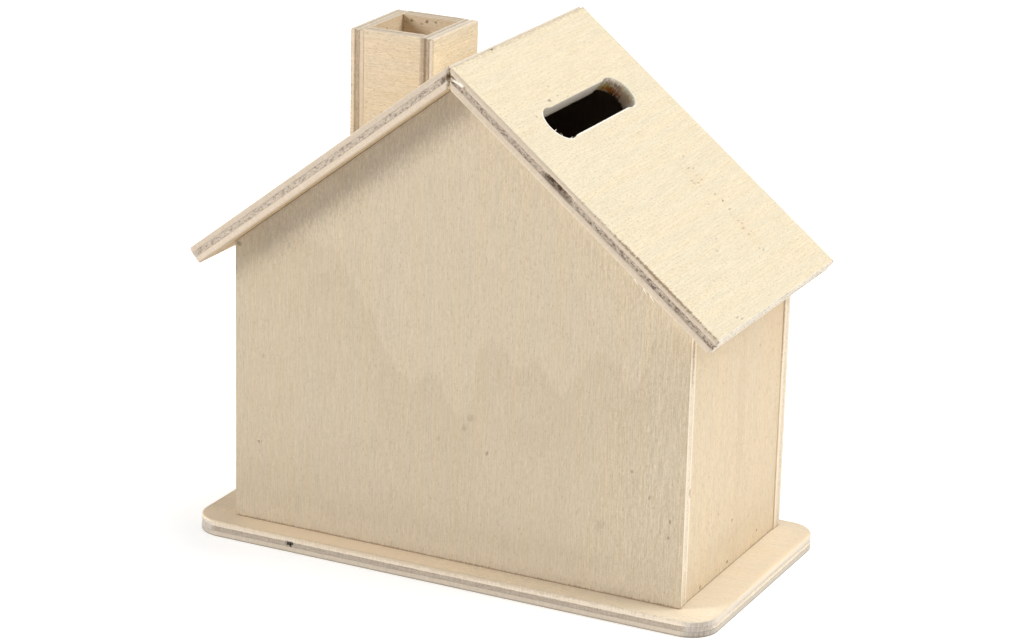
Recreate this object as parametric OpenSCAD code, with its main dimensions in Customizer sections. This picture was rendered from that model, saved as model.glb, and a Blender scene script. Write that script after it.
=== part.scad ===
// House-shaped money box in glued three-ply plywood.
// Frame: +X to the right seen from the front, +Y to the back, +Z up.
// The origin is the middle of the base's underside. All sizes are in millimetres.

/* [Base] */
// Length of the base board, left to right
base_l = 134; // [120:1:160]
// Width of the base board, front to back
base_w = 68.4; // [64:0.1:90]
// Thickness of the base board
base_t = 4; // [3.6:0.1:8]
// Radius of the base board's corners, seen from above
base_corner_r = 7; // [3:0.5:12]

/* [Body] */
// Width of the gables, left to right
body_w = 116; // [90:1:118]
// Depth of the body over both gables
body_d = 59; // [44:0.5:62]
// Height of the side walls' outer faces above the base board
wall_h = 68.5; // [40:0.5:100]
// Thickness of the gables and the side walls
wall_t = 3.6; // [3:0.1:6]
// Distance of the side walls' outer faces inside the gables' upright edges
wall_inset = 0.3; // [0:0.1:1]
// Distance of the body's middle behind the middle of the base board
body_shift = 1.1; // [-1.5:0.1:1.5]

/* [Roof] */
// Slope of both roof panels, in degrees
roof_slope = 38.2; // [30:0.1:45]
// Thickness of the roof panels
roof_t = 4.3; // [3:0.1:5]
// Depth of the roof panels, front to back
roof_d = 68.4; // [64:0.1:90]
// Level distance of the eaves' top edges outside the gables' upright edges
eaves_overhang = 9.2; // [4:0.1:16]

/* [Coin slot] */
// Length of the slot over its two drilled ends
slot_l = 40.6; // [34:0.1:46]
// Width of the slot between its drilled ends
slot_w = 8.6; // [6:0.1:9]
// Diameter of the drilled ends
slot_end_d = 9.3; // [9.1:0.1:11]
// Distance of the slot's middle from the ridge's top edge, measured down the slope
slot_from_ridge = 23.8; // [18:0.1:45]

/* [Chimney] */
// Width of the chimney over its side boards, left to right
chimney_w = 21.6; // [18:0.1:26]
// Depth of the chimney, front to back
chimney_d = 22.6; // [18:0.1:30]
// Thickness of the chimney's four boards
chimney_t = 3.5; // [2.5:0.1:5]
// Level distance of the chimney's middle from the ridge
chimney_from_ridge = 26.5; // [20:0.1:38]
// Height of the chimney's rim above the roof on the ridge side
chimney_rise = 11.2; // [6:0.1:30]
// Distance of the front and back boards' outer faces inside the side boards' edges
chimney_inset = 0.2; // [0:0.1:1]

/* [Stopper] */
// Diameter of the hole through the base board
hole_d = 30; // [20:0.5:34]
// Diameter of the stopper's flange
flange_d = 35; // [34.5:0.5:40]
// Thickness of the stopper's flange
flange_t = 1.4; // [1:0.1:2]
// Height of the stopper's neck above its flange
neck_h = 8; // [6:0.5:14]
// Thickness of the neck's wall
neck_wall = 1.8; // [1.2:0.1:3]
// Radial clearance of the neck in its hole
neck_clearance = 0.05; // [0.02:0.01:0.1]
// Radial clearance of the flange in its recess, room for a fingernail
flange_clearance = 0.6; // [0.3:0.1:1]
// Distance of the flange above the surface that the box stands on
flange_recess = 0.2; // [0:0.05:0.5]

/* [Finish] */
// Radius that sanding leaves on the long edges of the base and the roof
edge_r = 0.7; // [0.2:0.1:1.2]
// Radius that sanding leaves on the upright edges of the chimney
chimney_edge_r = 0.4; // [0.1:0.1:0.8]

/* [Hidden] */

$fn = 64;

// A cut runs this far past the faces it goes through
past = 1;
// Overlap of neighbouring shapes inside one solid
lap = 0.01;

// Heights of the roof's underside and top at the ridge
shoulder_z = base_t + wall_h;
gable_apex_z = shoulder_z + body_w / 2 * tan(roof_slope);
ridge_z = gable_apex_z + roof_t / cos(roof_slope);

// Length of a roof panel down the slope, from the ridge's top edge to the eave
roof_half_w = body_w / 2 + eaves_overhang;
panel_l = roof_half_w / cos(roof_slope);

// Places of the gables and walls, front to back
body_front_y = body_shift - body_d / 2;
body_back_y = body_shift + body_d / 2;
wall_run = body_d - 2 * wall_t;

// The drilled ends lie this far apart, centre to centre
slot_pitch = slot_l - slot_end_d;

// The chimney stands on the left panel
chimney_outer_x = -chimney_from_ridge - chimney_w / 2;
chimney_inner_x = -chimney_from_ridge + chimney_w / 2;
chimney_top_z = roof_top_z(chimney_inner_x) + chimney_rise;
chimney_bay = chimney_w - 2 * chimney_t;

// The stopper's flange sits in a recess that is as deep as the flange and its set-back
recess_d = flange_d + 2 * flange_clearance;
recess_h = flange_t + flange_recess;
neck_r = hole_d / 2 - neck_clearance;
flange_edge_r = flange_t / 3;
neck_lead = neck_wall / 2;

WOOD = [0.85, 0.76, 0.62];
WOOD_LIGHT = [0.95, 0.89, 0.76];
WOOD_WARM = [0.91, 0.83, 0.70];
RUBBER = [0.16, 0.15, 0.14];

// Height of the roof's top face above the point x
function roof_top_z(x) = ridge_z - abs(x) * tan(roof_slope);

// Height of the roof's underside above the point x
function roof_under_z(x) = gable_apex_z - abs(x) * tan(roof_slope);

// Rectangle with rounded corners, centred on the origin
module rounded_rect(w, h, r) {
    square([w - 2 * r, h], center = true);
    square([w, h - 2 * r], center = true);
    for (x = [-1, 1], y = [-1, 1])
        translate([x * (w / 2 - r), y * (h / 2 - r)])
            circle(r);
}

// Flat board with all its edges sanded round, centred on the origin
module sanded_board(l, w, t, r) {
    intersection() {
        linear_extrude(t + past, center = true)
            rounded_rect(l, w, r);
        rotate([90, 0, 0])
            linear_extrude(w + past, center = true)
                rounded_rect(l, t, r);
        rotate([90, 0, 90])
            linear_extrude(l + past, center = true)
                rounded_rect(w, t, r);
    }
}

// Section of a plate's edge: square at x = 0 and rounded at x = run
module edge_section(run, t, r) {
    square([run - r, t]);
    translate([0, r])
        square([run, t - 2 * r]);
    for (y = [r, t - r])
        translate([run - r, y])
            circle(r);
}

// Plate with round corners in plan and sanded edges all round, on z = 0
module round_cornered_plate(l, w, t, corner_r, r) {
    half_l = l / 2 - corner_r;
    half_w = w / 2 - corner_r;
    translate([-half_l, -half_w, 0])
        cube([2 * half_l, 2 * half_w, t]);
    for (side = [0, 1]) {
        // long sides
        rotate(180 * side)
            translate([-half_l, -half_w, 0])
                rotate([90, 0, 90])
                    mirror([1, 0, 0])
                        linear_extrude(2 * half_l)
                            edge_section(corner_r, t, r);
        // short sides
        rotate(180 * side)
            translate([half_l, half_w, 0])
                rotate([90, 0, 0])
                    linear_extrude(2 * half_w)
                        edge_section(corner_r, t, r);
    }
    for (x = [0, 1], y = [0, 1])
        mirror([x, 0, 0])
            mirror([0, y, 0])
                translate([half_l, half_w, 0])
                    rotate_extrude(angle = 90)
                        edge_section(corner_r, t, r);
}

// Gable: an upright pentagon plate whose top edges lie along the roof's underside
module gable() {
    rotate([90, 0, 0])
        linear_extrude(wall_t, center = true)
            polygon([
                [-body_w / 2, base_t],
                [body_w / 2, base_t],
                [body_w / 2, shoulder_z],
                [0, gable_apex_z],
                [-body_w / 2, shoulder_z],
            ]);
}

// Right side wall: an upright board whose top is bevelled to seat under the roof
module side_wall() {
    outer_x = body_w / 2 - wall_inset;
    inner_x = outer_x - wall_t;
    translate([0, body_shift, 0])
        rotate([90, 0, 0])
            linear_extrude(wall_run, center = true)
                polygon([
                    [inner_x, base_t],
                    [outer_x, base_t],
                    [outer_x, roof_under_z(outer_x)],
                    [inner_x, roof_under_z(inner_x)],
                ]);
}

// Moves its children from the right panel's own plane, with x down the slope from the
// ridge's top edge and z square to the board's top face, to their place on the roof
module on_right_slope() {
    translate([0, 0, ridge_z])
        rotate([0, roof_slope, 0])
            children();
}

// Right roof panel without its slot: a sanded board that is cut plumb at the ridge
module roof_panel() {
    // the board starts far enough above the ridge for the plumb cut to take its rounded end
    spare = roof_t * tan(roof_slope) + 2 * edge_r;
    intersection() {
        on_right_slope()
            translate([(panel_l - spare) / 2, 0, -roof_t / 2])
                sanded_board(panel_l + spare, roof_d, roof_t, edge_r);
        translate([0, -roof_d, shoulder_z - roof_half_w])
            cube([2 * roof_half_w, 2 * roof_d, 2 * roof_half_w]);
    }
}

// Coin slot: two drilled holes joined by a narrower routed slot, square to the panel
module coin_slot() {
    on_right_slope()
        translate([slot_from_ridge, 0, -roof_t - past]) {
            for (y = [-1, 1])
                translate([0, y * slot_pitch / 2, 0])
                    cylinder(d = slot_end_d, h = roof_t + 2 * past);
            translate([-slot_w / 2, -slot_pitch / 2, 0])
                cube([slot_w, slot_pitch, roof_t + 2 * past]);
        }
}

// Everything above the left panel's top face, across the chimney
module above_left_panel() {
    mirror([1, 0, 0])
        on_right_slope()
            translate([0, -chimney_d, 0])
                cube([panel_l, 2 * chimney_d, 2 * chimney_top_z]);
}

// Upright chimney board, l by w in plan, centred on [x, y], its foot cut to the roof's slope
module chimney_board(x, y, l, w) {
    foot_z = roof_top_z(x - l / 2) - past;
    intersection() {
        translate([x, y, foot_z])
            linear_extrude(chimney_top_z - foot_z)
                rounded_rect(l, w, chimney_edge_r);
        above_left_panel();
    }
}

// Side board of the chimney, as deep as the chimney
module chimney_side_board(x) {
    chimney_board(x, 0, chimney_t, chimney_d);
}

// Board between the chimney's side boards, on the front (side = -1) or the back (side = 1)
module chimney_cross_board(side) {
    y = side * (chimney_d / 2 - chimney_inset - chimney_t / 2);
    foot_z = roof_top_z(chimney_outer_x) - past;
    intersection() {
        translate([-chimney_from_ridge - chimney_bay / 2, y - chimney_t / 2, foot_z])
            cube([chimney_bay, chimney_t, chimney_top_z - foot_z]);
        above_left_panel();
    }
}

// Half section of the stopper: flange, neck and the hollow that faces the coins
module stopper_section() {
    difference() {
        union() {
            translate([0, flange_recess])
                square([flange_d / 2 - flange_edge_r, flange_t]);
            translate([0, flange_recess + flange_edge_r])
                square([flange_d / 2, flange_t - flange_edge_r]);
            translate([flange_d / 2 - flange_edge_r, flange_recess + flange_edge_r])
                circle(flange_edge_r);
            translate([0, recess_h - lap])
                square([neck_r, neck_h - neck_lead + lap]);
            polygon([
                [0, recess_h + neck_h - neck_lead - lap],
                [neck_r, recess_h + neck_h - neck_lead - lap],
                [neck_r, recess_h + neck_h - neck_lead],
                [neck_r - neck_lead / 2, recess_h + neck_h],
                [0, recess_h + neck_h],
            ]);
        }
        translate([0, recess_h])
            square([neck_r - neck_wall, neck_h + past]);
    }
}

module base_board() {
    color(WOOD_LIGHT)
        difference() {
            round_cornered_plate(base_l, base_w, base_t, base_corner_r, edge_r);
            translate([0, 0, -past])
                cylinder(d = hole_d, h = base_t + 2 * past);
            translate([0, 0, -past])
                cylinder(d = recess_d, h = recess_h + past);
        }
}

module stopper() {
    color(RUBBER)
        rotate_extrude()
            stopper_section();
}

module front_gable() {
    color(WOOD)
        translate([0, body_front_y + wall_t / 2, 0])
            gable();
}

module back_gable() {
    color(WOOD)
        translate([0, body_back_y - wall_t / 2, 0])
            gable();
}

module left_wall() {
    color(WOOD_WARM)
        mirror([1, 0, 0])
            side_wall();
}

module right_wall() {
    color(WOOD_WARM)
        side_wall();
}

module left_roof_panel() {
    color(WOOD_LIGHT)
        mirror([1, 0, 0])
            roof_panel();
}

module right_roof_panel() {
    color(WOOD_LIGHT)
        difference() {
            roof_panel();
            coin_slot();
        }
}

module chimney_left_board() {
    color(WOOD_WARM)
        chimney_side_board(chimney_outer_x + chimney_t / 2);
}

module chimney_right_board() {
    color(WOOD_WARM)
        chimney_side_board(chimney_inner_x - chimney_t / 2);
}

module chimney_front_board() {
    color(WOOD)
        chimney_cross_board(-1);
}

module chimney_back_board() {
    color(WOOD)
        chimney_cross_board(1);
}

base_board();
stopper();
front_gable();
back_gable();
left_wall();
right_wall();
left_roof_panel();
right_roof_panel();
chimney_left_board();
chimney_right_board();
chimney_front_board();
chimney_back_board();
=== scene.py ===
import math
from dataclasses import dataclass
from functools import partialmethod

import bpy
import numpy as np
from mathutils import Matrix, Vector, geometry, noise


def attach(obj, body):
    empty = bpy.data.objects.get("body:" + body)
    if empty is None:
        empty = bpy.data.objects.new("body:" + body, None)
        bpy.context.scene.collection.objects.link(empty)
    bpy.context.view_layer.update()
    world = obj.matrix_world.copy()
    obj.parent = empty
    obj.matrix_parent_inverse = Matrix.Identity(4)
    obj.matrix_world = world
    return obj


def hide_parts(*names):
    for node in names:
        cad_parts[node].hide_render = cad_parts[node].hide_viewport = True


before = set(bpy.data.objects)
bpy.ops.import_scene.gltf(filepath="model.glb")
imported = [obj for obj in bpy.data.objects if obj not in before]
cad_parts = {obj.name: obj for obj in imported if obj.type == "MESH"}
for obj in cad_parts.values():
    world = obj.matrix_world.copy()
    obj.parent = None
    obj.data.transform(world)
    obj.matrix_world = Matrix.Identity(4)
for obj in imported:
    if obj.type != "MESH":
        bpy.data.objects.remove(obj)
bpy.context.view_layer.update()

# Sizes in millimetres, the same as the model's own
MM = 0.001
BASE_L, BASE_W, BASE_T, BASE_CORNER = 134, 68.4, 4, 7
WALL_T = 3.6
GABLE_HALF = 58
WALL_OUTER_X = 57.7
FRONT_Y, BACK_Y = -28.4, 30.6
SHOULDER_Z, APEX_Z, RIDGE_Z = 72.5, 118.141, 123.613
SLOPE = math.radians(38.2)
TAN, COS, SIN = math.tan(SLOPE), math.cos(SLOPE), math.sin(SLOPE)
ROOF_T, ROOF_W, PANEL_L = 4.3, 68.4, 85.5
SLOT_FROM_RIDGE, SLOT_WIDTH, SLOT_END_R, SLOT_REACH = 23.8, 8.6, 4.65, 15.65
CHIMNEY_OUT_X, CHIMNEY_IN_X, CHIMNEY_TOP_Z = -37.3, -15.7, 122.459
CHIMNEY_T, CHIMNEY_HALF_D, CHIMNEY_INSET = 3.5, 11.3, 0.04
EDGE_R, CHIMNEY_EDGE_R, SAWN_R = 0.45, 0.35, 0.16
STOPPER_HOLE_R, RECESS_R, RECESS_H = 15, 18.1, 1.6
WALL_LAP = 0.14

# Core ply of each kind of board: from and to, measured from its inner or lower face
BASE_CORE, ROOF_CORE = (1.48, 2.64), (1.66, 2.93)
WALL_CORE, CHIMNEY_CORE = (1.2, 2.4), (1.12, 2.35)

# Wear of the edges: how far the core lies back, the reach of the softened ends, where the
# right roof panel's front edge starts to be worn, and the places of two gaps in the core
CORE_RECESS, SOFT_REACH, WORN_FROM = 0.05, 1.4, 46
BASE_VOID = (-39.8, -BASE_W / 2, 2.2)
ROOF_VOID = (35.7, -ROOF_W / 2, 2.39)

# Photograph's camera, in degrees and millimetres
CAMERA_AZIMUTH, CAMERA_ELEVATION, CAMERA_ROLL = 25.9546, 18.49, 1.418
CAMERA_TARGET = (-0.2016, 1.1, 53.8905)
CAMERA_DISTANCE = 808.629
CAMERA_LENS, CAMERA_SENSOR = 121.07, 36

# Stage: strengths of the lights and the glow, and the floor, in millimetres; it lies a
# hair lower than the base, so that the two are never in one plane
WORLD_FILL, FLOOR_GLOW, KEY_POWER, FRONT_POWER, TOP_POWER = 0.1, 0.35, 45, 66, 59
FLOOR_DROP, FLOOR_REACH, FLOOR_INSET, FLOOR_STEP = 0.02, 6000, 3, 4
LIGHT_DISTANCE, LIGHT_AIM_Z = 3000, 60

# Mesh pitches: along an edge, through a board's thickness, and across a face
EDGE_STEP, ROW_STEP, FACE_STEP, FACE_MARGIN = 0.34, 0.32, 3.5, 1.2
ARC_STEPS, SLOT_END_STEPS, STOPPER_SIDES = 4, 40, 144


# --- geometry ---

def rounded_loop(corners, radii, step=EDGE_STEP):
    """Evenly spaced points round a closed polygon whose corners are rounded."""
    path = []
    for i, radius in enumerate(radii):
        before, here, after = (Vector(corners[(i + k) % len(corners)]) for k in (-1, 0, 1))
        back, on = (before - here).normalized(), (after - here).normalized()
        half = back.angle(on) / 2
        centre = here + (back + on).normalized() * (radius / math.sin(half))
        start = here + back * (radius / math.tan(half)) - centre
        turn = math.pi - 2 * half
        side = 1 if on.cross(back) > 0 else -1
        count = max(2, round(radius * turn / (0.5 * step)))
        for k in range(count + 1):
            angle = side * turn * k / count
            path.append(centre + Vector((start.x * math.cos(angle) - start.y * math.sin(angle),
                start.x * math.sin(angle) + start.y * math.cos(angle))))
    return resample(np.array(path), step)


def resample(path, step):
    """A closed path's points at an even pitch."""
    closed = np.vstack([path, path[:1]])
    run = np.concatenate([[0], np.cumsum(np.linalg.norm(np.diff(closed, axis=0), axis=1))])
    count = max(12, round(run[-1] / step))
    at = np.linspace(0, run[-1], count, endpoint=False)
    return np.stack([np.interp(at, run, closed[:, k]) for k in (0, 1)], axis=1)


def left_normals(points):
    """Unit normals on the left of a closed path, which is where its board's wood is."""
    along = np.roll(points, -1, axis=0) - np.roll(points, 1, axis=0)
    along /= np.linalg.norm(along, axis=1, keepdims=True)
    return np.stack([-along[:, 1], along[:, 0]], axis=1)


def edge_rows(thickness, low_r, high_r):
    """(height, inset) rows from a board's lower face, round its edge, to its upper face."""
    arc = [math.pi / 2 * k / ARC_STEPS for k in range(ARC_STEPS + 1)]
    low = [(low_r * (1 - math.cos(a)), low_r * (1 - math.sin(a))) for a in arc]
    high = [(thickness - high_r * (1 - math.cos(a)), high_r * (1 - math.sin(a)))
            for a in reversed(arc)]
    straight = thickness - low_r - high_r
    count = max(1, round(straight / ROW_STEP))
    return low + [(low_r + straight * k / count, 0) for k in range(1, count)] + high


def smooth(value, low, high):
    x = min(max((value - low) / (high - low), 0), 1)
    return x * x * (3 - 2 * x)


def inside(points, loop):
    """Which points lie inside a closed loop."""
    x, y = points[:, :1], points[:, 1:]
    a, b = loop, np.roll(loop, -1, axis=0)
    crosses = (a[:, 1] > y) != (b[:, 1] > y)
    with np.errstate(divide="ignore", invalid="ignore"):
        at = a[:, 0] + (y - a[:, 1]) / (b[:, 1] - a[:, 1]) * (b[:, 0] - a[:, 0])
    return (np.sum(crosses & (x < at), axis=1) % 2).astype(bool)


def in_hole(points, rims):
    """Which points lie inside any loop but the first."""
    return sum((inside(points, rim) for rim in rims[1:]), np.zeros(len(points), bool)) > 0


def place(origin, x_axis, y_axis):
    """A board's place: its origin in millimetres and the directions of its x and y."""
    x, y = Vector(x_axis), Vector(y_axis)
    turn = Matrix((x, y, x.cross(y))).transposed().to_4x4()
    return Matrix.Translation(Vector(origin) * MM) @ turn


def rectangle(x0, y0, x1, y1):
    return [(x0, y0), (x1, y0), (x1, y1), (x0, y1)]


def circle_loop(radius):
    """A round hole's loop, clockwise, so that the wood is on its left."""
    count = round(2 * math.pi * radius / EDGE_STEP)
    turn = np.linspace(0, -2 * math.pi, count, endpoint=False)
    return np.stack([np.cos(turn), np.sin(turn)], axis=1) * radius


def slot_loop():
    """The coin slot: two drilled ends joined by a slightly narrower slot, clockwise."""
    lap = math.acos(SLOT_WIDTH / 2 / SLOT_END_R)
    points = []
    for end in (1, -1):
        start = math.pi + lap - (0 if end > 0 else math.pi)
        for k in range(SLOT_END_STEPS + 1):
            angle = start - (math.pi + 2 * lap) * k / SLOT_END_STEPS
            points.append((SLOT_FROM_RIDGE + SLOT_END_R * math.cos(angle),
                           end * SLOT_REACH + SLOT_END_R * math.sin(angle)))
    return resample(np.array(points), 0.7 * EDGE_STEP)


def add_object(name, data):
    thing = bpy.data.objects.new(name, data)
    bpy.context.scene.collection.objects.link(thing)
    return thing


def add_piece(name, corners, faces, curved):
    """A mesh object from corners in millimetres; curved says which faces are shaded so."""
    mesh = bpy.data.meshes.new(name)
    mesh.from_pydata([tuple(k * MM for k in corner) for corner in corners], [], faces)
    mesh.polygons.foreach_set("use_smooth", curved)
    return add_object(name, mesh)


# --- boards ---

def unwarped(points, z):
    return points


def evenly_worn(x, y):
    return 1


@dataclass
class Board:
    """One plywood board, built in its own frame: x and y in its face, z through it.

    core is the core ply's span in z, and soft_ends widens the arrises at the ends that look
    along x. hole is a loop, its rows and its arris; warp moves the outline at each height.
    rough and chips tell how torn the core and the arrises are, and wear where. A void is a
    gap in the edge: x, y, z, half length, half height and depth.
    """
    node: str
    thickness: float
    core: tuple
    outline: np.ndarray
    placed: Matrix
    seed: int
    rough: float
    chips: float = 0
    arris: float = SAWN_R
    low_arris: float = None
    hole: tuple = None
    warp: object = unwarped
    wear: object = evenly_worn
    soft_ends: float = 0
    voids: tuple = ()

    def bite(self, x, y, z, arris):
        """How far the edge's wood has gone at a point, in millimetres."""
        low, high = self.core
        core = smooth(z, low - 0.08, low + 0.08) * (1 - smooth(z, high - 0.08, high + 0.08))
        worn = self.wear(x, y)
        at = Vector((x, y, z)) + Vector((17.3, 5.1, 2.9)) * (self.seed + 1)
        grain = noise.noise(at * 1.5) + 0.6 * noise.noise(at * 3.6)
        depth = core * (CORE_RECESS + self.rough * worn * max(0, 0.45 + grain))
        depth += 0.02 * max(0, noise.noise(at * 0.8) + 0.4)
        if self.chips:
            rim = min(z, self.thickness - z) / max(arris, 0.2)
            torn = noise.noise(Vector((at.x * 0.9, at.y * 0.9, at.z * 0.4)))
            torn += 0.5 * noise.noise(at * 3.1)
            depth += self.chips * worn * smooth(torn, 0.28, 0.75) * max(0, 1.6 - rim)
        for cx, cy, cz, length, height, deep in self.voids:
            away = math.hypot(x - cx, y - cy) / length
            off = (z - cz) / height
            if away < 1.6 and abs(off) < 1.6:
                ragged = 0.75 + 0.5 * noise.noise(at * 1.9)
                depth += deep * ragged * math.exp(-away ** 6 - off ** 4)
        return depth

    def add_edge(self, corners, faces, points, rows, arris, warp=unwarped, soft_ends=0):
        """Adds the bands of faces round one edge, and returns its lower and upper rim."""
        normals = left_normals(points)
        first, count = len(corners), len(points)
        last = first + (len(rows) - 1) * count
        for row, (z, inset) in enumerate(rows):
            flat = row in (0, len(rows) - 1)
            eased = max(0, 1 - min(z, self.thickness - z) / SOFT_REACH) ** 2
            inset = inset + eased * (soft_ends * normals[:, 0] ** 4)
            bites = [0 if flat else self.bite(x, y, z, arris) for x, y in points]
            moved = points + normals * (inset + np.array(bites))[:, None]
            corners.extend((x, y, z) for x, y in warp(moved, z))
        for a in range(first, last, count):
            for i in range(count):
                j = (i + 1) % count
                faces.append((a + i, a + j, a + count + j, a + count + i))
        return range(first, first + count), range(last, last + count)

    def cap(self, corners, loops):
        """Triangles of a flat face between its edge loops."""
        z = corners[loops[0][0]][2]
        rims = [np.array([corners[i][:2] for i in loop]) for loop in loops]
        low, high = rims[0].min(axis=0), rims[0].max(axis=0)
        lines = [np.arange(low[k] + FACE_STEP / 2, high[k], FACE_STEP) for k in (0, 1)]
        grid = np.stack(np.meshgrid(*lines), axis=-1).reshape(-1, 2)
        keep = inside(grid, rims[0]) & ~in_hole(grid, rims)
        for rim in rims:
            apart = np.linalg.norm(grid[:, None] - rim[None, ::3], axis=2).min(axis=1)
            keep &= apart > FACE_MARGIN
        grid = grid[keep]
        index = [i for loop in loops for i in loop]
        index.extend(range(len(corners), len(corners) + len(grid)))
        corners.extend((x, y, z) for x, y in grid)
        points, edges = [], []
        for rim in rims:
            start, count = len(points), len(rim)
            points.extend(Vector(p) for p in rim)
            edges.extend((start + i, start + (i + 1) % count) for i in range(count))
        points.extend(Vector(p) for p in grid)
        spots, _, triangles, sources = geometry.delaunay_2d_cdt(points, edges, [], 1, 1e-7)[:4]
        middles = np.array([[sum(spots[v][k] for v in t) / 3 for k in (0, 1)] for t in triangles])
        return [tuple(index[sources[v][0]] for v in triangle)
                for triangle, gone in zip(triangles, in_hole(middles, rims)) if not gone]

    def build(self):
        """Makes the piece: its edges, then its two flat faces."""
        corners, faces = [], []
        rows = edge_rows(self.thickness, self.low_arris or self.arris, self.arris)
        rims = [self.add_edge(corners, faces, self.outline, rows, self.arris, self.warp,
                              self.soft_ends)]
        if self.hole:
            rims.append(self.add_edge(corners, faces, *self.hole))
        edge_faces = len(faces)
        low_rims, high_rims = zip(*rims)
        faces.extend(face[::-1] for face in self.cap(corners, low_rims))
        faces.extend(self.cap(corners, high_rims))
        name = self.node.removesuffix("_board").removesuffix("_panel") + "_plywood"
        piece = add_piece(name, corners, faces, [k < edge_faces for k in range(len(faces))])
        piece.data.validate()
        piece.matrix_world = self.placed
        return piece


def roof_under_z(x):
    return SHOULDER_Z + (GABLE_HALF - x) * TAN


def roof_top_z(x):
    return RIDGE_Z - abs(x) * TAN


def plumb_at_ridge(points, z):
    """Cuts the ridge end of a roof panel plumb: the lower its face, the shorter it is."""
    cut = (ROOF_T - z) * TAN
    moved = points.copy()
    moved[:, 0] = cut + points[:, 0] * (PANEL_L - cut) / PANEL_L
    return moved


def bevelled_top(points, z):
    """Bevels a side wall's top to the roof's underside; z runs outwards."""
    inner, outer = (roof_under_z(WALL_OUTER_X - WALL_T + t) for t in (0, z))
    moved = points.copy()
    moved[:, 1] = BASE_T + (points[:, 1] - BASE_T) * (outer - BASE_T) / (inner - BASE_T)
    return moved


def sloping_foot(rise):
    """Cuts a chimney side board's foot to the roof; rise is the slope through the board."""
    def cut(points, z):
        moved = points.copy()
        share = (CHIMNEY_TOP_Z - points[:, 1]) / (CHIMNEY_TOP_Z - points[:, 1].min())
        moved[:, 1] = points[:, 1] + share * rise * z
        return moved
    return cut


def right_roof_wear(x, y):
    """Little wear round the slot; the front edge is torn most in its half by the eave."""
    if abs(x - SLOT_FROM_RIDGE) < 7 and abs(y) < 24:
        return 0.3
    return 0.4 + smooth(x, WORN_FROM - 8, WORN_FROM + 8)


def upright(origin, x_axis):
    return place(origin, x_axis, (0, 0, 1))


def base_board():
    """The base, with the stopper's hole and the recess for its flange."""
    outline = rectangle(-BASE_L / 2, -BASE_W / 2, BASE_L / 2, BASE_W / 2)
    flange = RECESS_R - STOPPER_HOLE_R
    recess = [(0, flange + 0.2), (0.2, flange), (0.9, flange), (RECESS_H, flange),
              (RECESS_H, 1.6), (RECESS_H, 0), (2.2, 0), (2.8, 0), (3.4, 0),
              (BASE_T - 0.15, 0), (BASE_T, 0.15)]
    return Board("base_board", BASE_T, BASE_CORE, rounded_loop(outline, [BASE_CORNER] * 4),
        Matrix.Identity(4), seed=1, rough=0.05, arris=EDGE_R, low_arris=0.35,
        hole=(circle_loop(STOPPER_HOLE_R), recess, 0.2), voids=[(*BASE_VOID, 0.6, 0.35, 0.8)])


def gable(node, y, side, **details):
    corners = [(-GABLE_HALF, BASE_T), (GABLE_HALF, BASE_T), (GABLE_HALF, SHOULDER_Z),
               (0, APEX_Z), (-GABLE_HALF, SHOULDER_Z)]
    return Board(node, WALL_T, WALL_CORE, rounded_loop(corners, [0.25] * 5),
                 upright((0, y, 0), (-side, 0, 0)), rough=0.06, **details)


def roof_panel(node, side, **details):
    outline = rectangle(0, -ROOF_W / 2, PANEL_L, ROOF_W / 2)
    placed = place((-side * ROOF_T * SIN, 0, RIDGE_Z - ROOF_T * COS),
                   (side * COS, 0, -SIN), (0, side, 0))
    wedge = (1.7, -side * ROOF_W / 2, 2.35, 0.6, 0.5, 0.9)
    gaps = [(*ROOF_VOID, 4.1, 0.6, 1.6), wedge] if side > 0 else [wedge]
    return Board(node, ROOF_T, ROOF_CORE, rounded_loop(outline, [1, 0.5, 0.5, 1]), placed,
        arris=EDGE_R, warp=plumb_at_ridge, soft_ends=0.45, voids=gaps, **details)


def wall(node, side):
    """A side wall between the gables, let into them by a hair."""
    ends = (FRONT_Y + WALL_T - WALL_LAP, BACK_Y - WALL_T + WALL_LAP)
    if side < 0:
        ends = (-ends[1], -ends[0])
    inner_x = WALL_OUTER_X - WALL_T
    outline = rectangle(ends[0], BASE_T, ends[1], roof_under_z(inner_x))
    return Board(node, WALL_T, WALL_CORE, rounded_loop(outline, [0.12] * 4),
        upright((side * inner_x, 0, 0), (0, side, 0)), seed=6 + side, rough=0.06,
        arris=0.08, warp=bevelled_top)


def chimney_side(node, side):
    """A side board of the chimney, as deep as the chimney."""
    inner_x = CHIMNEY_IN_X - CHIMNEY_T if side > 0 else CHIMNEY_OUT_X + CHIMNEY_T
    outline = rectangle(-CHIMNEY_HALF_D, roof_top_z(inner_x), CHIMNEY_HALF_D, CHIMNEY_TOP_Z)
    return Board(node, CHIMNEY_T, CHIMNEY_CORE, rounded_loop(outline, [0.3] * 4),
        upright((inner_x, 0, 0), (0, side, 0)), seed=9 + side, rough=0.09, chips=0.07,
        arris=CHIMNEY_EDGE_R, low_arris=0.1, warp=sloping_foot(side * TAN))


def chimney_cross(node, side):
    """The front or back board of the chimney, between its side boards."""
    x0, x1 = CHIMNEY_OUT_X + CHIMNEY_T, CHIMNEY_IN_X - CHIMNEY_T
    if side > 0:
        x0, x1 = -x1, -x0
    outline = [(x0, roof_top_z(x0)), (x1, roof_top_z(x1)), (x1, CHIMNEY_TOP_Z), (x0, CHIMNEY_TOP_Z)]
    y = side * (CHIMNEY_HALF_D - CHIMNEY_INSET - CHIMNEY_T)
    return Board(node, CHIMNEY_T, CHIMNEY_CORE, rounded_loop(outline, [0.12] * 4),
        upright((0, y, 0), (-side, 0, 0)), seed=12 + side, rough=0.09, chips=0.05, arris=0.08)


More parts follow.
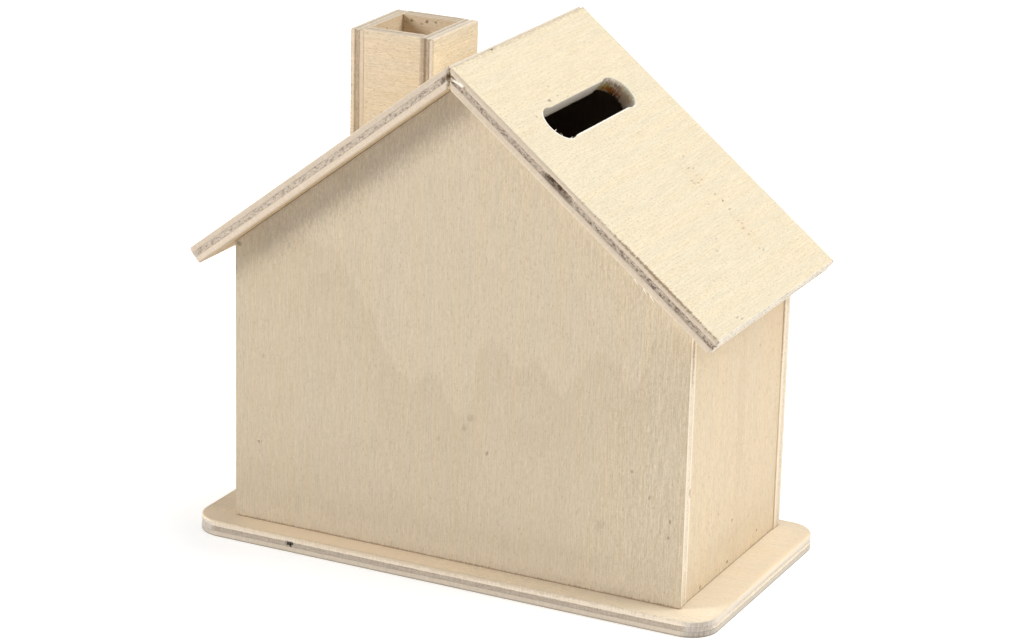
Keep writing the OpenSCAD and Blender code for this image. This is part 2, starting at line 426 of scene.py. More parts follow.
def make_boards():
    return [
        base_board(),
        gable("front_gable", FRONT_Y + WALL_T, -1, seed=2, chips=0.08,
              voids=[(GABLE_HALF, 30.9, 0.6, 1, 0.32, 0.8)]),
        gable("back_gable", BACK_Y - WALL_T, 1, seed=3, chips=0.04),
        roof_panel("right_roof_panel", 1, seed=4, rough=0.17, chips=0.13, wear=right_roof_wear,
                   hole=(slot_loop(), edge_rows(ROOF_T, 0.08, 0.08), 0.08)),
        roof_panel("left_roof_panel", -1, seed=5, rough=0.14, chips=0.08),
        wall("right_wall", 1), wall("left_wall", -1),
        chimney_side("chimney_right_board", 1), chimney_side("chimney_left_board", -1),
        chimney_cross("chimney_front_board", -1), chimney_cross("chimney_back_board", 1)]


# --- materials ---

class Value:
    """One output of a node; arithmetic on it adds math nodes."""

    def __init__(self, graph, socket):
        self.graph, self.socket = graph, socket

    def math(self, operation, *others):
        return self.graph.math(operation, self, *others)

    def __rsub__(self, other):
        return self.graph.math("SUBTRACT", other, self)

    __add__ = partialmethod(math, "ADD")
    __sub__ = partialmethod(math, "SUBTRACT")
    __mul__ = partialmethod(math, "MULTIPLY")
    __truediv__ = partialmethod(math, "DIVIDE")
    __pow__ = partialmethod(math, "POWER")
    __abs__ = partialmethod(math, "ABSOLUTE")


class Graph:
    """A material's node tree; most methods add nodes and return their output."""

    def __init__(self, name):
        self.material = bpy.data.materials.new(name)
        self.material.use_nodes = True
        self.tree = self.material.node_tree
        self.shader = self.tree.nodes["Principled BSDF"]

    def add(self, kind, inputs, output=0, **settings):
        node = self.tree.nodes.new("ShaderNode" + kind)
        for name, value in settings.items():
            setattr(node, name, value)
        for key, value in inputs.items():
            if isinstance(value, Value):
                self.tree.links.new(value.socket, node.inputs[key])
            else:
                node.inputs[key].default_value = value
        return Value(self, node.outputs[output])

    def link(self, value, name):
        self.tree.links.new(value.socket, self.shader.inputs[name])

    def fix(self, name, value):
        """Sets one of the shader's values to the same all over the piece."""
        self.shader.inputs[name].default_value = value

    def raise_by(self, height, strength=1):
        """Links a relief whose height is in millimetres."""
        self.link(self.add("Bump", {"Strength": strength, "Distance": MM,
                                    "Height": height}), "Normal")

    def math(self, operation, *inputs, clamp=False):
        return self.add("Math", dict(enumerate(inputs)), operation=operation, use_clamp=clamp)

    def vector(self, operation, *inputs, output="Vector"):
        return self.add("VectorMath", dict(enumerate(inputs)), output, operation=operation)

    def split(self, vector):
        outputs = self.add("SeparateXYZ", {0: vector}).socket.node.outputs
        return [Value(self, output) for output in outputs]

    def position(self):
        """The place in the piece's own frame, in millimetres."""
        return self.vector("MULTIPLY", self.add("TexCoord", {}, "Object"), [1 / MM] * 3)

    def between(self, value, low, high, to_low=0, to_high=1, ease="SMOOTHSTEP"):
        """Eases from to_low to to_high while value goes from low to high."""
        return self.add("MapRange", {0: value, 1: low, 2: high, 3: to_low, 4: to_high},
                        interpolation_type=ease)

    def noise(self, vector, size, shift, detail=2, roughness=0.5, distortion=0):
        """Perlin noise with its own grain size in millimetres along each axis."""
        at = self.vector("MULTIPLY_ADD", vector, [1 / s for s in size],
                         (shift, shift * 1.7 + 3.1, shift * 0.6 - 2.3))
        return self.add("TexNoise", {"Vector": at, "Scale": 1, "Detail": detail,
                                     "Roughness": roughness, "Distortion": distortion})

    def mix(self, factor, a, b):
        """From a to b, each of them a value or a linear colour."""
        a, b = (c if isinstance(c, Value) else (*c, 1) for c in (a, b))
        return self.add("Mix", {0: factor, 6: a, 7: b}, 2, data_type="RGBA")

    def weigh(self, *terms, base=0):
        """base plus each value, less its middle of a half, times its weight."""
        total = base
        for value, weight in terms:
            total = self.math("MULTIPLY_ADD", value, weight, -0.5 * weight) + total
        return total


# Colours of marks, linear: stains, specks, burns and dark joints in the wood, and painted shade
# in the core's gaps, under the roof and its eave and in the slot, and painted light on the slot and
# the base
SPECK = (0.13, 0.085, 0.05)
SMUDGE_AND_SHADE = (0.42, 0.32, 0.23)
BROWN = (0.31, 0.21, 0.125)
VOID_SHADE = (0.1, 0.055, 0.026)
PALE = (0.955, 0.785, 0.57)
RUST = (0.3, 0.17, 0.09)
WEDGE = (0.17, 0.09, 0.035)
PAINTED_LIGHT = (0.98, 0.94, 0.84)
PEACH = (0.76, 0.55, 0.33)
DUSK = (0.32, 0.26, 0.215)
HIDE = (0.62, 0.51, 0.37)
VOID_BLACK_SHADE = (0.02, 0.015, 0.01)
SILK = (0.93, 0.85, 0.76)
SINGED = (0.5, 0.42, 0.12)
BURNT = (0.52, 0.18, 0.02)
CHARRED = (0.09, 0.03, 0.01)
SLOT_SAWN = (0.74, 0.66, 0.55)
SLOT_DRILLED = (0.93, 0.77, 0.61)

# Shares of a colour: its warmer streaks, its pores, and the core's torn-out and raised bits
WARM = (1.01, 0.985, 0.95)
PORE = (0.66, 0.6, 0.5)
TORN_OUT = (0.38, 0.32, 0.32)
RAISED = (1.25, 1.25, 1.25)
# How much more green and blue follow a change of tone than red does
HUE = (1, 1.11, 1.36)
ANY = math.inf
# Height that the growth figure is drawn in, and how much darker the wood is below its line
FIGURE_TOP, FIGURE_CHANGE = 120, -0.055


def share_of(colour, share):
    return tuple(c * k for c, k in zip(colour, share))


@dataclass
class Look:
    """How one board's wood looks: its colours, linear, and its wear.

    An edge that looks along the board's x takes ply_x and core_x, one along its y ply_y and
    core_y. low_ply is the lower ply's brightness and seam the glue line's. foot darkens the
    edge up to foot_reach, a painted shade on the lower arris, and foot_light is painted light
    on the face just above the base. lining paints shade on the inner face where x is within
    inner_shading_to, and light on the chimney's boards. A mark is a centre, three radii in
    millimetres,
    ANY where it has no end, a strength and a colour.
    """
    tint: tuple
    grain: str
    ply_x: tuple
    core_x: tuple
    ply_y: tuple
    core_y: tuple
    low_ply: float = 1
    torn: float = 0.3
    fine: float = 1
    figure: float = 0.022
    pores: float = 0.6
    soft: float = 0.4
    foot_reach: float = 0.3
    foot: tuple = (1, 1, 1)
    inner_shading: tuple = (1, 1, 1)
    inner_shading_to: float = 200
    seam: float = 0.84
    seam_w: float = 0.14
    corner: tuple = None
    foot_light: float = 0
    crisp_from: float = None
    worn_from: float = None
    marks: tuple = ()
    figure_line: tuple = ()


class Plywood(Graph):
    """Three-ply wood as a solid texture in its board's own frame, in millimetres."""

    def __init__(self, board, look):
        super().__init__("plywood_" + board.node)
        self.board, self.look = board, look
        self.mm = self.position()
        self.x, self.y, self.z = self.split(self.mm)
        self.wood = self.mm if look.grain == "x" else self.add(
            "CombineXYZ", {0: self.y, 1: self.x, 2: self.z})
        facing = self.vector("NORMALIZE", self.add("TexCoord", {}, "Normal"))
        to_x, to_y, self.facing_z = self.split(facing)
        to_x, to_y = abs(to_x) ** 2, abs(to_y) ** 2
        self.is_edge = to_x + to_y
        self.along = to_y / (self.is_edge + 0.001)
        self.depth = self.math("MINIMUM", self.z, board.thickness - self.z)
        self.side = self.between(self.depth, 0.3 * look.soft, look.soft)
        self.make_noises()

    def make_noises(self):
        """Every pattern's noise, with its size along the grain, across it and through it."""
        at, wood, mm = 31.7 * (self.board.seed + 1), self.wood, self.mm
        self.shift = at
        self.fibre = self.noise(wood, (7, 0.32, 0.32), at, detail=3)
        self.dash = self.noise(wood, (1.4, 0.27, 0.27), at + 2)
        self.streak = self.noise(wood, (60, 2.6, 2.6), at + 5, detail=3)
        self.cloud = self.noise(wood, (48, 20, 20), at + 9, distortion=0.4)
        self.mottle = self.noise(wood, (1.6, 0.7, 0.7), at + 13, detail=3, roughness=0.65)
        self.bend = self.noise(wood, (46, 9, 9), at + 21, detail=1)
        self.pore_cell = self.noise(wood, (1, 0.27, 0.27), at + 17, detail=1)
        self.cut = self.noise(mm, (0.45, 0.45, 3), at + 27, detail=3, roughness=0.6)
        self.line = self.noise(mm, (15, 15, 0.2), at + 29)
        self.torn = self.noise(wood, (0.42, 0.8, 0.36), at + 33, detail=4, roughness=0.7)
        self.coarse = self.noise(wood, (2.5, 5, 0.9), at + 37)
        self.grit = self.noise(mm, (0.34, 0.34, 0.34), at + 41, detail=1)
        self.ragged = self.weigh((self.mottle, 1.2), (self.dash, 1.2), (self.cut, 1.5))

    def shaded(self, colour, change):
        """A colour with its tone changed by a share of itself."""
        gain = self.vector("MULTIPLY_ADD", change, HUE, (1, 1, 1))
        return self.vector("MULTIPLY", colour, gain)

    def face_change(self):
        """The face's change of tone: fibres, dashes, streaks, clouds and growth figure."""
        look = self.look
        change = self.weigh((self.fibre, 0.3 * look.fine), (self.dash, 0.25 * look.fine),
                            (self.grit, 0.15 * look.fine))
        if look.crisp_from is not None:
            change = change * self.between(self.x, look.crisp_from, look.crisp_from + 25, 1, 1.7)
        ring = self.math("FRACT", self.math("MULTIPLY_ADD", self.bend, 5.5, self.shift)) ** 2.2
        change = change + self.weigh((self.mottle, 0.07), (self.streak, 0.06),
                                     (self.cloud, 0.04), (ring, -look.figure))
        # painted light: the face is lighter just above the base
        if look.foot_light:
            change = change + self.between(self.y, BASE_T + 0.5, BASE_T + 8, look.foot_light, 0)
        if look.figure_line:
            change = change + self.darker_figure()
        return change

    def face(self):
        """Face ply, with its pores and, on the inner side, its lining, a painted shade, and a
        painted light on the chimney's boards.
        """
        look, tint = self.look, self.look.tint
        open_zone = self.between(self.cloud, 0.3, 0.7, 0, 0.035)
        self.pore = self.between(self.pore_cell + open_zone, 0.62, 0.74)
        colour = self.mix(self.between(self.streak, 0.35, 0.7), tint, share_of(tint, WARM))
        colour = self.shaded(colour, self.face_change())
        colour = self.mix(self.pore * look.pores, colour, share_of(tint, PORE))
        # painted shade on the inner face, and painted light on the chimney's: the face's colour
        # times the look's lining
        within = self.between(abs(self.x), look.inner_shading_to - 1, look.inner_shading_to, 1, 0)
        inner = self.between(self.facing_z, -0.9, -0.5, 1, 0)
        return self.mix(inner * within, colour, self.vector("MULTIPLY", colour, look.inner_shading))

    def darker_figure(self):
        """Change of tone below the tips of the growth figure, where the wood is more open."""
        line = self.look.figure_line
        low, high = line[0][0], line[-1][0]
        curve = self.tree.nodes.new("ShaderNodeFloatCurve")
        points = curve.mapping.curves[0].points
        while len(points) < len(line):
            points.new(0.5, 0.5)
        for point, (at, height) in zip(points, line):
            point.location = ((at - low) / (high - low), height / FIGURE_TOP)
        curve.mapping.update()
        wobble = self.noise(self.wood, (14, 2.2, 2.2), self.shift + 3)
        across = self.between(self.x + self.weigh((wobble, 3)), low, high, ease="LINEAR")
        self.tree.links.new(across.socket, curve.inputs[1])
        tip = Value(self, curve.outputs[0]) * FIGURE_TOP
        ragged = self.noise(self.wood, (9, 1.1, 1.1), self.shift)
        below = tip - self.y + self.weigh((ragged, 5))
        return (self.between(below, -0.5, 1.5) * self.between(below, 4, 34, 1, 0.25)
                * FIGURE_CHANGE)

    def edge(self, colour_x, colour_y, change):
        """An edge's colour; it is duller on a rounded corner, between the two directions."""
        colour = self.mix(self.along, colour_x, colour_y)
        corner = self.along * (1 - self.along)
        if self.look.corner:
            colour = self.mix(self.between(corner, 0.005, 0.09, 0, 0.85), colour,
                              self.look.corner)
        striped = self.math("MULTIPLY_ADD", self.cut, 3, -2.15)
        return self.shaded(colour, change + corner * striped)

    def ply_edge(self):
        """Cut edge of the face plies: fine lines along it and the cutter's marks across it."""
        look, (low, high) = self.look, self.board.core
        colour = self.edge(look.ply_x, look.ply_y, self.weigh(
            (self.line, 0.2), (self.cut, 0.22), (self.torn, 0.16), (self.grit, 0.2)))
        brightness = self.between(self.z, low, high, look.low_ply, 1)
        return self.vector("MULTIPLY", colour, brightness)

    def core_edge(self):
        """Cut edge of the core, torn and speckled by the saw."""
        look = self.look
        colour = self.edge(look.core_x, look.core_y, self.weigh(
            (self.line, 0.3), (self.coarse, 0.25), (self.cut, 0.18), (self.grit, 0.2)))
        worn = look.torn
        if look.worn_from is not None:
            worn = self.between(self.x, look.worn_from - 8, look.worn_from + 8,
                                0.6 * look.torn, look.torn)
        dark, light = (self.vector("MULTIPLY", colour, share) for share in (TORN_OUT, RAISED))
        low = self.math("MULTIPLY", self.between(self.torn, 0.5, 0.36), worn, clamp=True)
        high = self.math("MULTIPLY", self.between(self.torn, 0.54, 0.66), worn, clamp=True)
        return self.mix(high, self.mix(low, colour, dark), light)

    def join_plies(self):
        """Face, ply edges and core, joined along slightly wavy glue lines."""
        look, (low, high) = self.look, self.board.core
        height = self.z + self.weigh((self.torn, 0.3), (self.coarse, 0.25))
        self.in_core = (self.between(height, low - 0.06, low + 0.06)
                        * self.between(height, high - 0.06, high + 0.06, 1, 0))
        seam = abs(abs(height - (low + high) / 2) - (high - low) / 2)
        seam = self.between(seam, 0.2 * look.seam_w, look.seam_w, look.seam, 1)
        edge = self.mix(self.in_core, self.ply_edge(), self.core_edge())
        edge = self.vector("MULTIPLY", edge, seam)
        # painted shade: the lower arris is darkened by the look's foot colour
        foot = self.is_edge * self.between(self.z, 0.2 * look.foot_reach, look.foot_reach, 1, 0)
        side = self.math("MAXIMUM", self.side, foot * 0.7)
        colour = self.mix(side, self.face(), edge)
        return self.mix(foot, colour, self.vector("MULTIPLY", colour, look.foot))

    def mark(self, colour, centre, radii, strength, paint):
        """A stain, speck or shadow: an ellipsoid with a ragged edge."""
        at = self.vector("MULTIPLY_ADD", self.mm, [1 / r for r in radii],
                         [-c / r for c, r in zip(centre, radii)])
        away = self.vector("LENGTH", at, output="Value") + self.ragged
        return self.mix(self.between(away, 0.35, 1.05, strength, 0), colour, paint)

    def slot_wall(self, colour):
        """The slot's drilled and sawn wall, darker downwards as a painted shade, and a painted
        highlight along its rim.
        """
        across = self.x - SLOT_FROM_RIDGE
        beyond = self.math("MAXIMUM", 0, abs(self.y) - SLOT_REACH)
        away = self.vector("LENGTH", self.add("CombineXYZ", {0: across, 1: beyond}), output="Value")
        near = self.between(away, 6, 7, 1, 0)
        wall = near * self.is_edge * self.between(self.depth, 0.02, 0.1)
        drilled = self.between(self.y, SLOT_REACH + 0.5, SLOT_REACH + 3.5)
        # painted shade: the wall is darker towards the bottom of the slot
        height = self.between(self.z, 0.3, ROOF_T - 0.2)
        change = self.weigh((self.cut, 0.32), (self.torn, 0.22), (self.line, 0.15), (height, 0.2))
        cut = self.mix(drilled, SLOT_SAWN, SLOT_DRILLED)
        colour = self.mix(wall, colour, self.shaded(cut, change))
        self.link(near * (drilled * 0.9), "Subsurface Weight")
        self.fix("Subsurface Scale", 2 * MM)
        self.fix("Subsurface Radius", (1, 1, 1))
        # painted highlight: a pale line along the rim, where the cut arris catches the light
        end = self.between(beyond, 0, 0.4, 0, 0.35)
        rim = self.between(away - end, SLOT_END_R - 0.03, SLOT_END_R + 0.09, 1, 0)
        rim = rim * self.between(across - self.y * 0.25, 0, 0.8)
        rim = rim * self.between(self.z, ROOF_T - 0.1, ROOF_T - 0.02)
        return self.mix(rim * 0.9, colour, PAINTED_LIGHT)

    def finish(self):
        """Adds the marks, and links colour, relief and roughness."""
        colour = self.join_plies()
        if self.board.node == "right_roof_panel":
            colour = self.slot_wall(colour)
        for mark in self.look.marks:
            colour = self.mark(colour, *mark)
        self.link(colour, "Base Color")
        face = self.weigh((self.fibre, 0.014), (self.mottle, 0.012), (self.dash, 0.008),
                          (self.pore, -0.014)) + self.side * self.weigh((self.cut, 0.05))
        core = self.weigh((self.torn, 0.16), (self.coarse, 0.05))
        self.raise_by(self.add("Mix", {0: self.in_core * self.side, 2: face, 3: core}))
        self.link(self.weigh((self.mottle, 0.12), (self.in_core, 0.12), (self.streak, 0.1),
                             base=0.7), "Roughness")
        self.fix("Specular IOR Level", 0.25)
        return self.material


def moulded_plastic():
    """Soft grey-black stopper plastic with a faint moulding grain."""
    g = Graph("moulded_plastic")
    mm = g.position()
    grain = g.noise(mm, (0.35, 0.35, 0.35), 3, detail=3)
    cloud = g.noise(mm, (9, 9, 5), 8)
    colour = g.mix(cloud, (0.018, 0.018, 0.02), (0.032, 0.031, 0.031))
    colour = g.mix(g.between(grain, 0.55, 0.8, 0, 0.35), colour, (0.06, 0.058, 0.055))
    g.link(colour, "Base Color")
    g.link(g.weigh((grain, 0.15), (cloud, 0.15), base=0.48), "Roughness")
    g.raise_by(g.weigh((grain, 0.05)), 0.6)
    return g.material


def torn_wood():
    """Bright, silky torn fibre."""
    g = Graph("torn_wood")
    strand = g.noise(g.position(), (0.5, 0.12, 0.12), 4, detail=3)
    g.link(g.mix(g.between(strand, 0.35, 0.65), (0.78, 0.68, 0.54), (0.93, 0.86, 0.74)),
           "Base Color")
    g.link(g.weigh((strand, 0.3), base=0.6), "Roughness")
    g.raise_by(g.weigh((strand, 0.04)), 0.6)
    return g.material


# --- stopper ---

STOPPER_PROFILE = (
    # radius, height, edge radius: from the middle of the underside to the cup's floor
    (0, 0.2, 0), (17.5, 0.2, 0.45), (17.5, 1.6, 0.35), (14.95, 1.6, 0.2), (14.95, 9.35, 0.3),
    (14.3, 9.6, 0.25), (13.15, 9.6, 0.25), (13.15, 1.6, 0.5), (0, 1.6, 0))


def eased_corner(before, here, after, radius):
    """Points round one corner of a section."""
    back, on = (before - here).normalized(), (after - here).normalized()
    half = back.angle(on) / 2
    radius = min(radius, 0.45 * math.tan(half) * min((before - here).length, (after - here).length))
    reach = radius / math.tan(half)
    start, end = here + back * reach, here + on * reach
    return [start.lerp(here, k / 4).lerp(here.lerp(end, k / 4), k / 4) for k in range(5)]


def make_stopper():
    """The moulded stopper, turned from its section with every corner eased."""
    spots = [Vector(p[:2]) for p in STOPPER_PROFILE]
    rings = []
    for before, here, after, (_, _, radius) in zip(
            spots, spots[1:], spots[2:], STOPPER_PROFILE[1:]):
        rings.extend(eased_corner(before, here, after, radius))
    corners, faces = [(0, 0, spots[0].y)], []
    for point in rings:
        for k in range(STOPPER_SIDES):
            turn = 2 * math.pi * k / STOPPER_SIDES
            corners.append((point.x * math.cos(turn), point.x * math.sin(turn), point.y))
    last, top = len(corners) - STOPPER_SIDES, len(corners)
    corners.append((0, 0, spots[-1].y))
    for k in range(STOPPER_SIDES):
        j = (k + 1) % STOPPER_SIDES
        faces.append((0, 1 + j, 1 + k))
        for a in range(1, last, STOPPER_SIDES):
            b = a + STOPPER_SIDES
            faces.append((a + k, a + j, b + j, b + k))
        faces.append((last + k, last + j, top))
    piece = add_piece("stopper_moulding", corners, faces, [True] * len(faces))
    piece.data.set_sharp_from_angle(angle=math.radians(40))
    piece.data.materials.append(moulded_plastic())
    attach(piece, "stopper")
    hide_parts("stopper")


# --- torn fibres ---

FIBRES = {
    # board and the way the strands' flat sides look, then each strand's root, tip, half
    # width and bow, in the board's own frame
    "slot_fibres": ("right_roof_panel", (0.3, 0.2, 1), (
        ((24.86, -20.5, 4.05), (24.66, -18.7, 4.1), 0.17, (0.15, 0, 0.2)),
        ((27.04, -19.15, 3.95), (25.62, -18.17, 3.9), 0.15, (0.1, 0.2, 0.25)),
        ((26.2, -19.75, 4), (25.7, -18.9, 3.7), 0.1, (0.1, 0.1, 0.1)),
        ((28.38, -17.43, 4.05), (28.14, -15.74, 4.15), 0.15, (-0.3, 0.1, 0.1)),
        ((19.3, 16.46, 4.1), (20.47, 15.73, 3.9), 0.15, (0.2, 0.2, 0.1)),
        ((19.6, 18.15, 4.15), (20.81, 17.38, 3.3), 0.17, (0.2, 0.2, 0.1)),
        ((20, 18.55, 4.15), (21.1, 17.6, 3.7), 0.14, (0.1, 0.1, 0.1)),
        ((20.35, 18.95, 4.15), (21.5, 18, 3), 0.13, (0.1, 0.1, 0.1)),
        ((20.95, 19.35, 4.15), (21.6, 18.9, 3.5), 0.12, (0.1, 0.1, 0.1)),
        ((21.5, 19.8, 4.15), (22.15, 18.95, 3.1), 0.14, (0.1, 0.1, 0.1)),
        ((22.3, 20.1, 4.15), (22.6, 19.5, 3.4), 0.12),
        ((23.6, 20.35, 4.15), (23.7, 19.6, 3.1), 0.13),
        ((24.4, 20.3, 4.15), (24.5, 19.8, 2.6), 0.11),
        ((25.2, 20.15, 4.15), (25, 19.4, 2.9), 0.13),
        ((24.9, 20.2, 2.6), (24.6, 19.9, 1.2), 0.12),
        ((26.3, 19.6, 4.1), (26, 19.1, 2.9), 0.11),
        ((20, 18.5, 0.1), (20.6, 18, 1.1), 0.13, (0.1, 0.1, 0)),
        ((20.7, 19.2, 0.1), (21.2, 18.6, 1), 0.11, (0.1, 0.1, 0)),
        ((22.4, 20.2, 0.05), (22.2, 19.6, 1.5), 0.13, (0.1, 0.1, 0)))),
    "ridge_splinter": ("right_roof_panel", (0.1, 1, 0.1), (
        ((5.95, -34.02, 2.9), (2.3, -34.06, 2.35), 0.42, (0, 0, 0.25)),
        ((2.6, -34.04, 2.05), (4.5, -34.08, 2.6), 0.18, (0, 0, 0.1)),
        ((4.1, -34.04, 3.05), (5.6, -34.08, 3.2), 0.15, (0, 0, -0.1)))),
    "eave_fibres": ("right_roof_panel", (0, 1, 0.2), (
        ((62, -34, 0.15), (63.8, -34.05, -0.3), 0.16, (0, 0, -0.1)),
        ((64.9, -34, 0.15), (66.7, -34.05, -0.45), 0.2, (0, 0, -0.1)),
        ((66.9, -34, 0.15), (68.9, -34.05, -0.4), 0.2, (0, 0, -0.1)))),
    "gable_fibres": ("front_gable", (0.3, 0.2, 1), (
        ((57.9, 59.8, 0.05), (58.5, 58.1, -0.25), 0.07, (0.25, 0, 0)),
        ((57.9, 38.2, 0.05), (58.65, 36.7, -0.35), 0.07, (0.25, 0, 0)),
        ((57.9, 12.1, 0.05), (58.3, 11.2, -0.2), 0.06, (0.15, 0, 0)))),
}


def add_fibre(corners, faces, facing, root, tip, half_width, bow=(0.1, 0, 0.1)):
    """Adds one flattened, tapering, bowed strand of wood to a mesh's lists."""
    root, tip = Vector(root), Vector(tip)
    middle = (root + tip) / 2 + Vector(bow)
    sides, rings = 6, 9
    across = (tip - root).cross(Vector(facing)).normalized()
    thick = across.cross((tip - root).normalized())
    first = len(corners)
    for k in range(rings):
        s = k / (rings - 1)
        centre = root.lerp(middle, s).lerp(middle.lerp(tip, s), s)
        width = half_width * (1 - 0.85 * s ** 1.5) * (0.6 + 0.4 * smooth(s, 0, 0.3))
        for j in range(sides):
            turn = 2 * math.pi * j / sides
            corners.append(centre + across * (width * math.cos(turn))
                           + thick * (0.45 * width * math.sin(turn)))
    for a in range(first, len(corners) - sides, sides):
        for j in range(sides):
            on = (j + 1) % sides
            faces.append((a + j, a + on, a + sides + on, a + sides + j))
    faces.append(tuple(range(first + sides - 1, first - 1, -1)))
    faces.append(tuple(range(len(corners) - sides, len(corners))))


def make_fibres(places):
    material = torn_wood()
    for name, (node, facing, strands) in FIBRES.items():
        corners, faces = [], []
        for strand in strands:
            add_fibre(corners, faces, facing, *strand)
        piece = add_piece(name, corners, faces, [len(face) == 4 for face in faces])
        piece.matrix_world = places[node]
        piece.data.materials.append(material)
        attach(piece, "house")


# --- stage ---

def aim_camera():
    azimuth, tilt, roll = (math.radians(angle) for angle in (
        CAMERA_AZIMUTH, 90 - CAMERA_ELEVATION, CAMERA_ROLL))
    camera = add_object("camera", bpy.data.cameras.new("camera"))
    camera.data.lens, camera.data.sensor_width = CAMERA_LENS, CAMERA_SENSOR
    camera.data.clip_start, camera.data.clip_end = 0.05, 50
    camera.matrix_world = (
        Matrix.Translation(Vector(CAMERA_TARGET) * MM)
        @ Matrix.Rotation(azimuth, 4, "Z") @ Matrix.Rotation(tilt, 4, "X")
        @ Matrix.Rotation(roll, 4, "Z") @ Matrix.Translation((0, 0, CAMERA_DISTANCE * MM)))
    bpy.context.scene.camera = camera


def softbox(name, direction, size, power):
    """A square soft light that faces the box's middle; size is in metres."""
    data = bpy.data.lights.new(name, "AREA")
    data.shape, data.size, data.energy = "SQUARE", size, power
    light = add_object(name, data)
    towards = Vector(direction).normalized()
    light.location = towards * (LIGHT_DISTANCE * MM) + Vector((0, 0, LIGHT_AIM_Z * MM))
    light.rotation_mode = "QUATERNION"
    light.rotation_quaternion = towards.to_track_quat("Z", "Y")


def floor_paper():
    g = Graph("floor_paper")
    g.fix("Base Color", (0.93, 0.93, 0.93, 1))
    g.fix("Roughness", 0.9)
    g.fix("Specular IOR Level", 0.1)
    g.fix("Emission Color", (1, 1, 1, 1))
    g.fix("Emission Strength", FLOOR_GLOW)
    return g.material


def make_floor():
    """A pale floor with an opening under the box, so that its underside can be seen too."""
    opening = rectangle(FLOOR_INSET - BASE_L / 2, FLOOR_INSET - BASE_W / 2,
                        BASE_L / 2 - FLOOR_INSET, BASE_W / 2 - FLOOR_INSET)
    rim = rounded_loop(opening, [BASE_CORNER] * 4, FLOOR_STEP)
    turn = np.arctan2(rim[:, 1], rim[:, 0])
    outer = np.stack([np.cos(turn), np.sin(turn)], axis=1) * FLOOR_REACH
    count = len(rim)
    corners = [(x, y, -FLOOR_DROP) for x, y in (*rim, *outer)]
    faces = [(i, count + i, count + (i + 1) % count, (i + 1) % count) for i in range(count)]
    floor = add_piece("floor", corners, faces, [False] * count)
    floor.data.materials.append(floor_paper())


def light_stage():
    world = bpy.data.worlds.new("studio")
    world.use_nodes = True
    background = world.node_tree.nodes["Background"].inputs
    background["Color"].default_value = (0.85, 0.95, 1.15, 1)
    background["Strength"].default_value = WORLD_FILL
    bpy.context.scene.world = world
    softbox("key", (0.8, 0.3, 0.68), 1.8, KEY_POWER)
    softbox("front", (-0.8, -0.7, 0.5), 1.2, FRONT_POWER)
    softbox("top", (0.25, 0.25, 1), 2, TOP_POWER)
    bpy.context.scene.view_settings.view_transform = "Standard"


# --- looks of the boards ---

FIGURE_LINE = (
    # growth figure on the front gable: x and z in millimetres
    (-58, 78), (-38, 76), (-32, 75.2), (-28.8, 71), (-24.3, 65), (-20, 58), (-17.8, 52.5),
    (-11.5, 47.5), (-6.6, 49.7), (-2.2, 45.2), (0.8, 40.4), (5.2, 48), (6.5, 57.6),
    (11.3, 59.6), (14, 56), (16.7, 54.3), (19.4, 57.9), (22.7, 54.7), (27.6, 50.5),
    (31.4, 56.2), (36.3, 61.6), (40.3, 60.4), (43.9, 54.6), (47, 59.7), (50, 68), (58, 72))


def faint(*spots, size=(0.45, 0.8), strength=0.35):
    """Small smudges on a roof panel's outer face."""
    return tuple(((x, y, ROOF_T), (*size, 1.5), strength, SMUDGE_AND_SHADE) for x, y in spots)


def specks(*spots, face=WALL_T, colour=SPECK):
    """Knots or spots on a board's face at z = face: x, y, two radii and a strength."""
    return tuple(((x, y, face), (rx, ry, 1), strength, colour) for x, y, rx, ry, strength in spots)


def on_side(x, y, z, ry, rz, strength, colour):
    """A mark on an edge that looks along the board's x."""
    return ((x, y, z), (1.2, ry, rz), strength, colour)


def on_front(x, z, rx, rz, strength, colour, y=-ROOF_W / 2):
    """A mark on a roof panel's front edge."""
    return ((x, y, z), (rx, 1.6, rz), strength, colour)


def foot_seam(reach, strength, colour=BROWN):
    """The dark joint between a board and the base."""
    return ((0, BASE_T, WALL_T), (ANY, reach, 1.5), strength, colour)


def ridge_seam(side_y):
    """The dark joint between the roof panels, on a panel's front edge."""
    return ((((ROOF_T - z) * TAN, side_y, z), (0.3, 1.2, 0.5), 0.75, RUST)
            for z in (0.5, 1.2, 1.9, 2.6, 3.3, 3.9))


def under_roof(side, strength):
    """Deeper shade on the front gable's face, close under one roof panel."""
    return (((side * x, APEX_Z - 3 - x * TAN, WALL_T), (8, 8, 2), strength, DUSK)
            for x in range(2, 56, 6))


# painted shade: the inner faces of the gables and walls are darkened to about half
INSIDE_SHADE = (0.5, 0.45, 0.4)
GABLE_EDGE = dict(ply_x=(0.86, 0.735, 0.56), core_x=(0.83, 0.7, 0.53),
                  ply_y=(0.76, 0.63, 0.46), core_y=(0.66, 0.54, 0.4), inner_shading=INSIDE_SHADE)
ROOF_EAVE = dict(ply_x=(0.77, 0.69, 0.565), core_x=(0.75, 0.67, 0.545))

